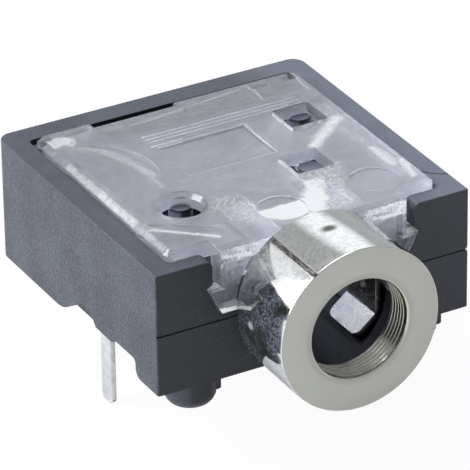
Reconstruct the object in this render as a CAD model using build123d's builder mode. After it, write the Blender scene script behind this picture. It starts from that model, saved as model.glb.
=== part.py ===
from build123d import *
import os

# Right-angle 3.5 mm jack socket for a circuit board, in millimetres.
# The origin is the centre of the sleeve's mouth. The plug goes in along +Y,
# +Z is up and away from the board, and +X is to the right seen from the front.
# Sizes named _h are heights over the board, _y lengths from the housing's front face,
# _back lengths from the inside of its back wall, and _in lengths from the inside of a side wall.

# The plug that the socket takes
plug_d = 3.5

# Housing: an open-top box with a nose at the front
body_w = 12.0
body_d = 11.6
wall_h = 4.55
axis_h = 2.33
side_wall = 0.8
front_wall = 0.65
back_wall = 0.9
floor_t = 0.55
back_corner_r = 0.5
front_corner_r = 0.07
top_edge_r = 0.05
inner_corner_r = 0.2
channel_clear = 0.25
tip_relief_depth = 0.45

# Relief under the side walls, between the feet, where the pins come out
relief_h = 0.64
rear_relief_h = 0.86
relief_in = 0.55
front_foot_l = 1.6
guide_y = 3.3
guide_l = 1.15
guide_h = 0.46
guide_slope_l = 0.33
rear_foot_y = 6.92
rear_slope_l = 1.42
relief_r = 0.18
foot_r = 0.35
rear_foot_r = 1.4

# Locating pegs for the board, domed at the end, each with a crush rib
peg_d = 1.8
peg_out = 1.7
peg_y = 0.95
peg_l = 1.1
peg_end_r = 0.5
crush_rib_d = 0.3
crush_rib_turn = -30

# Mould seam across the front face
seam_h = 2.25
seam_w = 0.07
seam_depth = 0.05
notch_w = 0.22
notch_depth = 0.09
notch_l = 0.4

# Line that the mould left across the right rim: places are (length in from the outside, y)
rim_line = ((0.8, 1.95), (0.4, 1.5), (0, 1.25))
rim_line_w = 0.05
rim_line_depth = 0.04

# Sleeve: a turned cap with the plug hole in its front wall
sleeve_od = 6.0
sleeve_reach = 3.0
sleeve_wall = 0.4
bore_d = 3.6
bore_l = 1.1
mouth_chamfer = 0.12
sleeve_edge = 0.06
nose_gap = 0.03
nose_end_gap = 0.05

# Window in the front wall, and the cover's apron, which is narrower than it above its hooks
apron_w = 7.72
apron_side_gap = 0.26
apron_hook = 0.23
hook_top_h = 3.66
hook_tip_h = 3.53
apron_foot_w = 7.16
split_h = 2.44
rim_corner_r = 0.25
fit_gap = 0.03

# Cover
cover_h = 4.85
cover_t = 0.5
cover_gap = 0.05
cover_edge = 0.18
cover_corner_r = 0.35
rear_gap = 0.3
rear_step = 0.28
rear_step_x = (-3.05, 0.3)
rear_ledge_l = 0.75
rear_ledge_drop = 0.12
apron_sunk = 0.38
apron_rim = 0.2
apron_top_rim = 0.55
rib_t = 0.25
rib_h = 0.22
hold_gap = 0.05
left_rib_y = (3.2, 8.2)
right_rib_y = (2.3, 8.4)
saddle_end_y = 3.3
saddle_x = 0.9
skirt_t = 0.35
skirt_h = 1.2
nib_pad_gap = 0.45
nib_w = 0.9
nib_h = 0.4
nib_bite = 0.2

# Features moulded in the cover
hole_y = 3.45
hole_d = 1.5
hole_edge = 0.15
window_a_in = 1.66
window_a_back = 3.56
window_b_x = 2.05
window_b_back = 6.62
window_w = 1.4
panel_at = (-0.15, 6.4)
panel_w = 3.4
panel_l = 2.45
panel_depth = 0.12
disc_a = (-0.35, 1.6)
disc_b_in = 1.85
disc_b_y = 1.8
disc_d = 1.7
disc_depth = 0.06
line_x = (-2.0, 4.1)
line_y = 7.95
line_pitch = 0.22
line_count = 3
line_w = 0.08
line_depth = 0.05
arc_rib = ((-4.2, 1.4), (-2.75, 2.6), (-2.6, 4.5))
left_brace = ((0.6, 3.1), (2.7, 1.7))
right_brace = ((2.0, 5.9), (0.6, 6.9))

# Contacts: strips that stand on edge on the floor
strip_t = 0.2
strip_h = 3.33
arm_lift = 0.15
arm_drop = 0.1
wall_clear = 0.02
bend_r = 0.3
turn_w = 0.9
turn_r = 0.4
closed_gap = 0.02
pin_w = 0.7
pin_l = 3.15
pin_tip_r = 0.28
slot_clear = 0.03
blade_w = 0.4

# Tip contact, on the left, and the blade it rests on
tip_pin_y = 5.36
tip_base_y = 6.6
tip_turn_y = 1.8
tip_knee_x = 2.1
tip_knee_back = 2.4
tip_touch_x = 1.15
tip_touch_back = 1.5
tip_flare_back = 0.75
tip_end_back = 0.2
tip_blade_x = 1.85
tip_blade_back = 0.25

# Ring contact, on the right, and the blade it rests on
ring_pin_back = 3.15
ring_base_back = 4.2
ring_turn_back = 1.3
ring_knee_x = 2.35
ring_knee_back = 3.45
ring_touch_x = 1.5
ring_touch_back = 4.3
ring_flare_back = 5.0
ring_end_back = 5.58
ring_blade_x = 2.4
ring_blade_back = 5.45

# Ground contact, whose front end lies in the nose beside the plug
ground_pin_y = 3.25
ground_base_y = 4.1
ground_touch_x = 1.7
ground_top = 1.1
ground_knee = -0.84
ground_toe = (0.95, -1.54)
ground_reach = 1.1
ground_inside = 0.75
ground_tongue_r = 0.3
ground_pocket = 0.15
dimple_d = 0.7
dimple_out = 0.12
dimple_y = -0.1
dimple_z = -0.1

# Keepers, posts and walls on the floor
keeper_t = 0.4
keeper_l = 1.7
keeper_h = 3.2
post_d = 0.84
post_clear = 0.13
channel_wall = 0.4
channel_wall_h = 2.6
pad_w = 0.7

# Planes and places worked out from the sizes above
front = sleeve_reach
rear = front + body_d
seat = -axis_h
rim = seat + wall_h
floor = seat + floor_t
split = seat + split_h
inner_half = body_w / 2 - side_wall
inner_front = front + front_wall
inner_rear = rear - back_wall
channel_r = plug_d / 2 + channel_clear
sleeve_in_r = sleeve_od / 2 - sleeve_wall
nose_r = sleeve_in_r - nose_gap
nose_front = bore_l + nose_end_gap
cover_top = seat + cover_h
cover_low = cover_top - cover_t
cover_half = inner_half - cover_gap
cover_rear = inner_rear - rear_gap
strip_top = floor + strip_h
pin_end = seat - pin_l
base_x = inner_half - wall_clear - strip_t / 2
keeper_x = base_x - strip_t / 2 - wall_clear - keeper_t / 2
turn_x = base_x - turn_w
blade_step = strip_t + closed_gap
ground_x = ground_touch_x + strip_t / 2
cross_y = front_wall + wall_clear + strip_t / 2
peg_x = body_w / 2 - peg_out
nib_x = inner_half - pad_w - nib_pad_gap - nib_w / 2
held_pins = (
    (-1, front + tip_pin_y),
    (1, front + ground_pin_y),
    (1, inner_rear - ring_pin_back),
)

# The post under the hole stands clear of the tip contact's arm, and the hole over its edge
arm_lean = (turn_x - tip_knee_x) / (inner_rear - tip_knee_back - front - tip_turn_y)
arm_x = turn_x - arm_lean * (hole_y + post_d - tip_turn_y)
hole_post_x = arm_x - strip_t / 2 - post_clear - post_d / 2
hole_x = hole_post_x + post_d / 2


def place(spot):
    # A place on the plan, given by x and its length from the front face
    return (spot[0], front + spot[1])


def place_back(spot):
    # A place on the plan, given by x and its length from the back wall
    return (spot[0], inner_rear - spot[1])


def place_in(side, spot):
    # A place on the plan, given by its lengths from a side wall and the front face
    return (side * (inner_half - spot[0]), front + spot[1])


def block(x_range, y_range, z_range, mode=Mode.ADD):
    # A rectangular block between three pairs of planes
    spans = (x_range, y_range, z_range)
    with Locations(tuple(sum(span) / 2 for span in spans)):
        Box(*[abs(span[1] - span[0]) for span in spans], mode=mode)


def around(middle, width):
    # The two ends of a width about its middle
    return (middle - width / 2, middle + width / 2)


def strip(points, radii, z_range):
    # A strip on edge that follows a bent path
    with BuildSketch(Plane.XY.offset(z_range[0])) as plan:
        with BuildLine():
            FilletPolyline(*points, radius=radii)
        trace(line_width=strip_t)
    extrude(plan.sketch, amount=z_range[1] - z_range[0])


def solder_pin(x, y):
    # A flat pin that goes down through the floor and has a rounded end
    with BuildSketch(Plane.YZ.offset(x - strip_t / 2)) as blade:
        with Locations((y, (floor + pin_end) / 2)):
            Rectangle(pin_w, floor - pin_end)
        fillet(blade.vertices().group_by(Axis.Y)[0], pin_tip_r)
    extrude(blade.sketch, amount=strip_t)


def pin_slot(x, y):
    # The slot in the floor that a pin goes through
    slot_x = around(x, strip_t + 2 * slot_clear)
    slot_y = around(y, pin_w + 2 * slot_clear)
    block(slot_x, slot_y, (seat - floor_t, floor), mode=Mode.SUBTRACT)


def mirrored_outline(right):
    # A closed outline from the points of its right half
    left = [(-x, z) for x, z in reversed(right)]
    Polyline(*right, *left, close=True)


def window_outline():
    # Outline of the front wall's window, with a notch for each of the apron's hooks
    mirrored_outline([
        (apron_foot_w / 2, split),
        (apron_w / 2 + apron_hook, seat + hook_tip_h),
        (apron_w / 2, seat + hook_top_h),
        (apron_w / 2, cover_top),
    ])


def apron_outline(inset):
    # Outline of the apron, or of what lies inside its rim, set in from the window's foot and notches
    side_x = apron_w / 2 - apron_side_gap - inset
    mirrored_outline([
        (apron_foot_w / 2 - inset, split + inset),
        (apron_w / 2 + apron_hook - inset, seat + hook_tip_h - inset),
        (side_x, seat + hook_tip_h - inset),
        (side_x, cover_top),
    ])


def nose_half(low, high):
    # The part of the nose between two heights
    with BuildSketch(Plane.XZ.offset(-front)) as nose:
        Circle(nose_r)
        with Locations((0, (low + high) / 2)):
            Rectangle(2 * nose_r, high - low, mode=Mode.INTERSECT)
    extrude(nose.sketch, amount=front - nose_front)


def plug_way(end):
    # The round way that the plug takes
    with BuildSketch(Plane.XZ) as way:
        Circle(channel_r)
    extrude(way.sketch, amount=-end, mode=Mode.SUBTRACT)


def ground_line(extra):
    # The ground contact's front end seen along the plug's axis, longer by extra at its ends
    toe_x, toe_z = ground_toe
    run = ((toe_x - ground_x) ** 2 + (toe_z - ground_knee) ** 2) ** 0.5
    reach = 1 + extra / run
    toe = (
        ground_x + (toe_x - ground_x) * reach,
        ground_knee + (toe_z - ground_knee) * reach,
    )
    FilletPolyline((ground_x, ground_top + extra), (ground_x, ground_knee), toe, radius=bend_r)


def ground_slot():
    # The room that the ground contact's front end moves in
    with BuildSketch(Plane.XZ.offset(-inner_front)) as slot:
        with BuildLine():
            ground_line(ground_pocket)
        trace(line_width=strip_t + 2 * ground_pocket)
    slot_l = front_wall + ground_reach + ground_pocket
    extrude(slot.sketch, amount=slot_l, mode=Mode.SUBTRACT)


with BuildPart() as housing:
    with BuildSketch(Plane.XY.offset(seat)) as footprint:
        with Locations((0, front + body_d / 2)):
            Rectangle(body_w, body_d)
        fillet(footprint.vertices().group_by(Axis.Y)[-1], back_corner_r)
        fillet(footprint.vertices().group_by(Axis.Y)[0], front_corner_r)
    extrude(footprint.sketch, amount=wall_h)
    fillet(housing.edges().group_by(Axis.Z)[-1], top_edge_r)
    with BuildSketch(Plane.XY.offset(floor)) as cavity:
        with Locations((0, (inner_front + inner_rear) / 2)):
            Rectangle(2 * inner_half, inner_rear - inner_front)
        fillet(cavity.vertices(), inner_corner_r)
    extrude(cavity.sketch, amount=rim - floor, mode=Mode.SUBTRACT)

    # Keepers that hold the strips against the side walls
    with BuildSketch(Plane.XY.offset(floor)) as keepers:
        for side, pin_y in held_pins:
            with Locations((side * keeper_x, pin_y + keeper_l / 2 - pin_w)):
                RectangleRounded(keeper_t, keeper_l, keeper_t / 4)
    extrude(keepers.sketch, amount=keeper_h)

    # Walls beside the plug's way
    wall_x = channel_r + channel_wall / 2
    past_strip = cross_y + strip_t
    wall_ends = [
        (-1, inner_front, front + hole_y + hole_d),
        (1, front + past_strip, inner_rear - ring_blade_back - pin_w),
    ]
    with BuildSketch(Plane.XY.offset(floor)) as channel_sides:
        for side, start, end in wall_ends:
            with Locations((side * wall_x, (start + end) / 2)):
                Rectangle(channel_wall, end - start)
    extrude(channel_sides.sketch, amount=channel_wall_h)

    # Round posts that carry the cover, under its hole and windows
    window_a_x = inner_half - window_a_in
    blade_post_back = ring_blade_back + pin_w / 2 + slot_clear + post_d / 2
    post_spots = [
        place((-hole_post_x, hole_y + post_d)),
        place_back((window_a_x + post_d / 2, window_a_back - post_d)),
        place_back((ring_blade_x, blade_post_back)),
    ]
    with BuildSketch(Plane.XY.offset(floor)) as posts:
        with Locations(*post_spots):
            Circle(post_d / 2)
    extrude(posts.sketch, amount=cover_low - floor)

    # Pads in the rear corners, under the cover
    for side in (-1, 1):
        pad_x = (side * (inner_half - pad_w), side * inner_half)
        block(pad_x, (inner_rear - pad_w, inner_rear), (floor, cover_low))

    # Window in the front wall for the cover's apron
    with BuildSketch(Plane.XZ.offset(-inner_front)) as window:
        with BuildLine():
            window_outline()
        make_face()
        with Locations((0, rim - rim_corner_r / 2)):
            Rectangle(apron_w + 2 * rim_corner_r, rim_corner_r)
        corner_x = apron_w / 2 + rim_corner_r
        with Locations((-corner_x, rim - rim_corner_r), (corner_x, rim - rim_corner_r)):
            Circle(rim_corner_r, mode=Mode.SUBTRACT)
    extrude(window.sketch, amount=front_wall, mode=Mode.SUBTRACT)

    # Lower half of the nose, and the plug's way, which ends inside the back wall
    nose_half(-nose_r, split)
    plug_way(inner_rear + tip_relief_depth)
    ground_slot()

    # Slots for the pins, and pockets in the back wall for the cover's nibs
    for side, pin_y in held_pins:
        pin_slot(side * base_x, pin_y)
    pin_slot(-tip_blade_x, inner_rear - tip_blade_back)
    pin_slot(ring_blade_x, inner_rear - ring_blade_back)
    nib_top = cover_low - skirt_h + nib_h
    for side in (-1, 1):
        pocket_z = (nib_top - nib_h - fit_gap, nib_top + fit_gap)
        pocket_y = (inner_rear, inner_rear + nib_bite + fit_gap)
        block(around(side * nib_x, nib_w + 2 * fit_gap), pocket_y, pocket_z, mode=Mode.SUBTRACT)

    # Relief under each side wall, with a guide beside the pin
    guide_end = guide_y + guide_l
    for side in (-1, 1):
        with BuildSketch(Plane.YZ.offset(side * body_w / 2)) as relief:
            with BuildLine():
                Polyline(
                    (front + front_foot_l - 2 * foot_r, seat),
                    (front + front_foot_l, seat),
                    (front + front_foot_l, seat + relief_h),
                    (front + guide_y - guide_slope_l, seat + relief_h),
                    (front + guide_y, seat + guide_h),
                    (front + guide_end, seat + guide_h),
                    (front + guide_end + guide_slope_l, seat + rear_relief_h),
                    (front + rear_foot_y - rear_slope_l, seat + rear_relief_h),
                    (front + rear_foot_y, seat),
                    (front + rear_foot_y + rear_foot_r, seat),
                    (front + rear_foot_y + rear_foot_r, seat - fit_gap),
                    (front + front_foot_l - 2 * foot_r, seat - fit_gap),
                    close=True,
                )
            make_face()
            fillet(relief.vertices().filter_by(lambda v: v.Y > seat + fit_gap), relief_r)
            for foot_y, radius in ((front_foot_l, foot_r), (rear_foot_y, rear_foot_r)):
                foot_corner = relief.vertices().sort_by_distance((front + foot_y, seat, 0))[0]
                fillet(foot_corner, radius)
        extrude(relief.sketch, amount=-side * relief_in, mode=Mode.SUBTRACT)

    # Mould seam across the front face, outside the apron
    for side in (-1, 1):
        seam_x = (side * nose_r, side * body_w / 2)
        seam_z = around(seat + seam_h, seam_w)
        block(seam_x, (front, front + seam_depth), seam_z, mode=Mode.SUBTRACT)

    # Notch where the seam meets the right front edge, and the line across the right rim
    with BuildSketch(Plane.XZ.offset(-front - notch_l)) as notch:
        with BuildLine():
            Polyline(
                (body_w / 2, seat + seam_h - notch_w / 2),
                (body_w / 2, seat + seam_h + notch_w / 2),
                (body_w / 2 - notch_depth, seat + seam_h),
                close=True,
            )
        make_face()
    extrude(notch.sketch, amount=notch_l, mode=Mode.SUBTRACT)
    with BuildSketch(Plane.XY.offset(rim)) as mould_line:
        with BuildLine():
            Polyline(*[place((body_w / 2 - length, y)) for length, y in rim_line])
        trace(line_width=rim_line_w)
    extrude(mould_line.sketch, amount=-rim_line_depth, mode=Mode.SUBTRACT)

    # Locating pegs
    peg_spots = (place((-peg_x, peg_y)), place((peg_x, peg_y)))
    with BuildSketch(Plane.XY.offset(seat)) as pegs:
        with Locations(*peg_spots):
            Circle(peg_d / 2)
    extrude(pegs.sketch, amount=-peg_l)
    peg_ends = housing.edges().filter_by(GeomType.CIRCLE).group_by(Axis.Z)[0]
    fillet(peg_ends, peg_end_r)
    with BuildSketch(Plane.XY.offset(seat)) as crush_ribs:
        with Locations(*peg_spots):
            with PolarLocations(peg_d / 2, 1, start_angle=crush_rib_turn):
                Circle(crush_rib_d / 2)
    extrude(crush_ribs.sketch, amount=peg_end_r - peg_l)

housing.part.label = "housing"


with BuildPart() as cover:
    # Plate with its front tongue and stepped rear edge
    with BuildSketch(Plane.XY.offset(cover_low)) as lid:
        lid_front = inner_front + cover_gap
        with Locations((0, (lid_front + cover_rear) / 2)):
            Rectangle(2 * cover_half, cover_rear - lid_front)
        fillet(lid.vertices(), cover_corner_r)
        tongue_l = lid_front + cover_gap - front
        with Locations((0, front + tongue_l / 2)):
            Rectangle(apron_w - 2 * apron_side_gap - 2 * fit_gap, tongue_l)
        step_w = rear_step_x[1] - rear_step_x[0]
        with Locations((sum(rear_step_x) / 2, cover_rear)):
            Rectangle(step_w, 2 * rear_step, mode=Mode.SUBTRACT)
    extrude(lid.sketch, amount=cover_t)
    top_edges = cover.edges().group_by(Axis.Z)[-1]
    side_edges = top_edges.filter_by(Axis.Y).filter_by(lambda e: abs(e.center().X) > apron_w / 2)
    chamfer(side_edges, length=cover_edge)

    # Apron that closes the front wall's window, and the upper half of the nose
    with BuildSketch(Plane.XZ.offset(-inner_front)) as apron:
        with BuildLine():
            apron_outline(fit_gap)
        make_face()
    extrude(apron.sketch, amount=front_wall)
    nose_half(split + fit_gap, nose_r)

    # Saddles that close the plug's way over its side walls, past the ground contact's strip
    saddle_low = floor + channel_wall_h + fit_gap
    for side, start_y in ((-1, inner_front), (1, front + cross_y + strip_t)):
        saddle_sides = (side * saddle_x, side * (channel_r + channel_wall))
        block(saddle_sides, (start_y, front + saddle_end_y), (saddle_low, cover_low))
    plug_way(front + saddle_end_y)
    ground_slot()

    # Face of the apron, sunk behind a rim
    with BuildSketch(Plane.XZ.offset(-front)) as sunk:
        with BuildLine():
            apron_outline(apron_rim)
        make_face()
        with Locations((0, cover_top)):
            Rectangle(apron_w, 2 * apron_top_rim, mode=Mode.SUBTRACT)
        Circle(sleeve_od / 2 - apron_rim, mode=Mode.SUBTRACT)
    extrude(sunk.sketch, amount=-apron_sunk, mode=Mode.SUBTRACT)

    # Lower ledge along the rear edge
    ledge_y = (cover_rear - rear_ledge_l, cover_rear)
    ledge_z = (cover_top - rear_ledge_drop, cover_top)
    block((rear_step_x[1], cover_half - cover_corner_r), ledge_y, ledge_z, mode=Mode.SUBTRACT)
    ledge_y = (cover_rear - rear_ledge_l - rear_step, cover_rear)
    block(rear_step_x, ledge_y, ledge_z, mode=Mode.SUBTRACT)

    # Hole and windows over the contacts
    with BuildSketch(Plane.XY.offset(cover_low)) as openings:
        with Locations(place((-hole_x, hole_y))):
            Circle(hole_d / 2)
        window_spots = ((window_a_x, window_a_back), (window_b_x, window_b_back))
        with Locations(*[place_back(spot) for spot in window_spots]):
            Rectangle(window_w, window_w)
    extrude(openings.sketch, amount=cover_t, mode=Mode.SUBTRACT)
    round_edges = cover.edges().filter_by(GeomType.CIRCLE)
    hole_edges = round_edges.filter_by(lambda e: abs(e.radius - hole_d / 2) < hole_edge / 10)
    chamfer(hole_edges.group_by(Axis.Z)[-1], length=hole_edge)

    # Sunk panel, round marks and grooves in the top face
    with BuildSketch(Plane.XY.offset(cover_top)) as panel:
        with Locations(place(panel_at)):
            Rectangle(panel_w, panel_l)
    extrude(panel.sketch, amount=-panel_depth, mode=Mode.SUBTRACT)
    with BuildSketch(Plane.XY.offset(cover_top)) as discs:
        with Locations(place(disc_a), place_in(1, (disc_b_in, disc_b_y))):
            Circle(disc_d / 2)
    extrude(discs.sketch, amount=-disc_depth, mode=Mode.SUBTRACT)
    with BuildSketch(Plane.XY.offset(cover_top)) as lines:
        for i in range(line_count):
            with Locations(place((sum(line_x) / 2, line_y + i * line_pitch))):
                Rectangle(line_x[1] - line_x[0], line_w)
    extrude(lines.sketch, amount=-line_depth, mode=Mode.SUBTRACT)

    # Ribs under the plate that hold the strips down
    for side, rib_y in ((-1, left_rib_y), (1, right_rib_y)):
        rib_x = (side * (keeper_x - keeper_t / 2), side * (inner_half - cover_gap))
        block(rib_x, [front + y for y in rib_y], (strip_top + hold_gap, cover_low))

    # Curved and straight stiffening ribs under the plate
    with BuildSketch(Plane.XY.offset(cover_low)) as ribs:
        with BuildLine():
            ThreePointArc(*[place_back(spot) for spot in arc_rib])
        trace(line_width=rib_t)
        for side, brace in ((-1, left_brace), (1, right_brace)):
            with BuildLine():
                Line(*[place_in(side, spot) for spot in brace])
            trace(line_width=rib_t)
    extrude(ribs.sketch, amount=-rib_h)

    # Skirts at the rear with nibs that bite into the back wall
    for side in (-1, 1):
        skirt_x = around(side * nib_x, nib_w)
        skirt_z = (cover_low - skirt_h, cover_low)
        block(skirt_x, (cover_rear - skirt_t, cover_rear), skirt_z)
        nib_z = (cover_low - skirt_h, cover_low - skirt_h + nib_h)
        block(skirt_x, (cover_rear, inner_rear + nib_bite), nib_z)

cover.part.label = "cover"


with BuildPart() as sleeve:
    with BuildSketch(Plane.XY) as profile:
        with BuildLine():
            Polyline(
                (bore_d / 2 + mouth_chamfer, 0),
                (sleeve_od / 2 - sleeve_edge, 0),
                (sleeve_od / 2, sleeve_edge),
                (sleeve_od / 2, front),
                (sleeve_in_r, front),
                (sleeve_in_r, bore_l),
                (bore_d / 2, bore_l),
                (bore_d / 2, mouth_chamfer),
                close=True,
            )
        make_face()
    revolve(profile.sketch, axis=Axis.Y)

sleeve.part.label = "sleeve"


with BuildPart() as tip_contact:
    free_x = tip_blade_x + blade_step
    tip_path = [
        place((-base_x, tip_base_y)),
        place((-base_x, tip_turn_y)),
        place((-turn_x, tip_turn_y)),
        place_back((-tip_knee_x, tip_knee_back)),
        place_back((-tip_touch_x - strip_t / 2, tip_touch_back)),
        place_back((-free_x, tip_flare_back)),
        place_back((-free_x, tip_end_back)),
    ]
    tip_radii = [turn_r, turn_r, bend_r, bend_r, bend_r / 2]
    strip(tip_path, tip_radii, (floor + arm_lift, strip_top - arm_drop))
    tip_base = (front + tip_turn_y + turn_r, front + tip_base_y)
    block(around(-base_x, strip_t), tip_base, (floor, strip_top))
    solder_pin(-base_x, front + tip_pin_y)

tip_contact.part.label = "tip_contact"


with BuildPart() as ring_contact:
    free_x = ring_blade_x + blade_step
    ring_path = [
        (base_x, ring_base_back),
        (base_x, ring_turn_back),
        (turn_x, ring_turn_back),
        (ring_knee_x, ring_knee_back),
        (ring_touch_x + strip_t / 2, ring_touch_back),
        (free_x, ring_flare_back),
        (free_x, ring_end_back),
    ]
    ring_radii = [turn_r, turn_r, bend_r, bend_r, bend_r / 2]
    ring_points = [place_back(spot) for spot in ring_path]
    strip(ring_points, ring_radii, (floor + arm_lift, strip_top - arm_drop))
    ring_base = (inner_rear - ring_base_back, inner_rear - ring_turn_back - turn_r)
    block(around(base_x, strip_t), ring_base, (floor, strip_top))
    solder_pin(base_x, inner_rear - ring_pin_back)

ring_contact.part.label = "ring_contact"


with BuildPart() as tip_switch_contact:
    tip_blade_y = inner_rear - tip_blade_back
    solder_pin(-tip_blade_x, tip_blade_y)
    block(around(-tip_blade_x, strip_t), around(tip_blade_y, blade_w), (floor, strip_top))

tip_switch_contact.part.label = "tip_switch_contact"


with BuildPart() as ring_switch_contact:
    ring_blade_y = inner_rear - ring_blade_back
    solder_pin(ring_blade_x, ring_blade_y)
    block(around(ring_blade_x, strip_t), around(ring_blade_y, blade_w), (floor, strip_top))

ring_switch_contact.part.label = "ring_switch_contact"


with BuildPart() as ground_contact:
    # Tongue in the nose, with its toe bent under the plug
    with BuildSketch(Plane.XZ.offset(-front - ground_inside)) as tongue:
        with BuildLine():
            ground_line(0)
        trace(line_width=strip_t)
    extrude(tongue.sketch, amount=ground_inside + ground_reach)
    short_edges = ground_contact.edges().filter_by(lambda e: abs(e.length - strip_t) < strip_t / 10)
    fillet(short_edges.group_by(Axis.Z)[0], ground_tongue_r)
    # Raised round dimple that touches the plug
    dimple_x = ground_touch_x - dimple_out / 2
    with Locations(Location((dimple_x, front + dimple_y, dimple_z), (0, -90, 0))):
        Cone(dimple_d / 2, dimple_d / 2 - dimple_out, dimple_out)
    # Strip along the front wall to the base on the right
    ground_path = [
        (base_x, ground_base_y),
        (base_x, cross_y),
        (ground_x, cross_y),
        (ground_x, -ground_reach / 2),
    ]
    ground_points = [place(spot) for spot in ground_path]
    strip(ground_points, bend_r, (ground_knee + bend_r, ground_top))
    ground_base = (front + cross_y + bend_r, front + ground_base_y)
    block(around(base_x, strip_t), ground_base, (floor, strip_top))
    solder_pin(base_x, front + ground_pin_y)

ground_contact.part.label = "ground_contact"


os.makedirs("parts", exist_ok=True)
for piece in (
    housing,
    cover,
    sleeve,
    tip_contact,
    ring_contact,
    ground_contact,
    tip_switch_contact,
    ring_switch_contact,
):
    export_step(piece.part, f"parts/{piece.part.label}.step")
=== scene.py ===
import math
from types import SimpleNamespace

import bmesh
import bpy
from mathutils import Matrix, Vector


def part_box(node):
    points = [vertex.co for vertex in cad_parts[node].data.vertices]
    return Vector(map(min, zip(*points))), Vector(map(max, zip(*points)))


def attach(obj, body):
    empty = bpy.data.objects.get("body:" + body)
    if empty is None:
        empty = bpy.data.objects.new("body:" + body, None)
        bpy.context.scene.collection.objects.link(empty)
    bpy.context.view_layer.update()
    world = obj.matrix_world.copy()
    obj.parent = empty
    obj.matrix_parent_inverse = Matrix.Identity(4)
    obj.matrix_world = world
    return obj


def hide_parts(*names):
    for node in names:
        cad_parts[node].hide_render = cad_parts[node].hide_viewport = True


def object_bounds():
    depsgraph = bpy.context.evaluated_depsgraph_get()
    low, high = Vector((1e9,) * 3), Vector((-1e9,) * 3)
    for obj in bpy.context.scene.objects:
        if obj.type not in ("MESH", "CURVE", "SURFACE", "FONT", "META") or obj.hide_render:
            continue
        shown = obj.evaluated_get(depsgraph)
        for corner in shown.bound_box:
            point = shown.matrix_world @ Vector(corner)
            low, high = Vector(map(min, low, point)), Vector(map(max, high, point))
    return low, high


bl_info = {
    "name": "Jack Socket Finishes",
    "version": (1, 0, 0),
    "blender": (4, 5, 0),
    "location": "View3D > Sidebar > Jack Socket",
    "description": "Gives a board-mount jack socket its moulded, plated and turned finishes",
    "category": "Object",
}

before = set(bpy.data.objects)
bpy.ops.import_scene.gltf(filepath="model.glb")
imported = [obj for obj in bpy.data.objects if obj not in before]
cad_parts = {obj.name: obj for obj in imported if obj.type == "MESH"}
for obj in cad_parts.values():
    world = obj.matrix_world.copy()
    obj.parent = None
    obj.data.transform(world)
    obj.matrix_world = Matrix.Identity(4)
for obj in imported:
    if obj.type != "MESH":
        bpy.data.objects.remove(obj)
CAD_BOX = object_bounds()

MM = 0.001
BODY = "root"


# Colours and node trees


def linear(code):
    """Linear RGBA of an sRGB hex colour."""
    channels = [int(code[i:i + 2], 16) / 255 for i in (1, 3, 5)]
    lit = [c / 12.92 if c <= 0.04045 else ((c + 0.055) / 1.055) ** 2.4 for c in channels]
    return (*lit, 1.0)


def add(tree, kind, inputs=None, **settings):
    """A node with its settings, and its inputs set to values or linked to what other nodes give."""
    node = tree.nodes.new(kind)
    for name, value in settings.items():
        setattr(node, name, value)
    for key, value in (inputs or {}).items():
        source = value.socket if isinstance(value, Value) else value
        if isinstance(source, bpy.types.NodeSocket):
            tree.links.new(source, node.inputs[key])
        else:
            node.inputs[key].default_value = source
    return node


class Value:
    """What a node gives. Each sum on it adds a node to the same tree."""

    def __init__(self, socket):
        self.socket = socket
        self.tree = socket.id_data

    def then(self, operation, *others, **settings):
        """The result of a sum that starts with this value."""
        inputs = dict(enumerate((self, *others)))
        return Value(add(self.tree, "ShaderNodeMath", inputs, operation=operation, **settings).outputs[0])

    def __add__(self, other):
        return self.then("ADD", other)

    def __sub__(self, other):
        return self.then("SUBTRACT", other)

    def __rsub__(self, other):
        return self.then("MULTIPLY_ADD", -1.0, other)

    def __mul__(self, other):
        return self.then("MULTIPLY", other)

    def __truediv__(self, other):
        return self.then("DIVIDE", other)

    def __lt__(self, other):
        return self.then("LESS_THAN", other)

    def __gt__(self, other):
        return self.then("GREATER_THAN", other)


def most(value, *others):
    """The highest of several values."""
    for other in others:
        value = value.then("MAXIMUM", other)
    return value


def spread(value, low, high, to_low=0.0, to_high=1.0, smooth=True):
    """A value carried from one range to another, and kept inside it."""
    kind = "SMOOTHSTEP" if smooth else "LINEAR"
    inputs = {"Value": value, "From Min": low, "From Max": high, "To Min": to_low, "To Max": to_high}
    return Value(add(value.tree, "ShaderNodeMapRange", inputs, interpolation_type=kind).outputs["Result"])


def band(value, low, high, soft=0.05):
    """1 between two values and 0 outside them, with soft ends."""
    return spread(value, low - soft, low + soft) * spread(value, high - soft, high + soft, 1.0, 0.0)


def patch(parts, ranges):
    """A rectangle on two measures, each with two ends and a softness: 1 inside it and 0 outside."""
    across, along = (band(value, *limits) for value, limits in zip(parts, ranges))
    return across * along


def spot(parts, centre, size, soft=0.3):
    """A soft round mark on two measures in millimetres: 1 inside it and 0 outside."""
    across, along = ((value - middle) / radius for value, middle, radius in zip(parts, centre, size))
    apart = (across * across + along * along).then("SQRT")
    return spread(apart, 1 - soft, 1 + soft, 1.0, 0.0)


def stroke(parts, start, end, half_width):
    """A soft line between two places in millimetres: 1 on it and 0 outside."""
    run = [b - a for a, b in zip(start, end)]
    length_2 = sum(r * r for r in run)
    past = [value - a for value, a in zip(parts, start)]
    share = past[1].then("MULTIPLY_ADD", run[1] / length_2, past[0] * (run[0] / length_2), use_clamp=True)
    aside = [share.then("MULTIPLY_ADD", -r, value) for value, r in zip(past, run)]
    apart = aside[0].then("MULTIPLY_ADD", aside[0], aside[1] * aside[1]).then("SQRT")
    return spread(apart, 0.0, half_width * 2, 1.0, 0.0)


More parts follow.
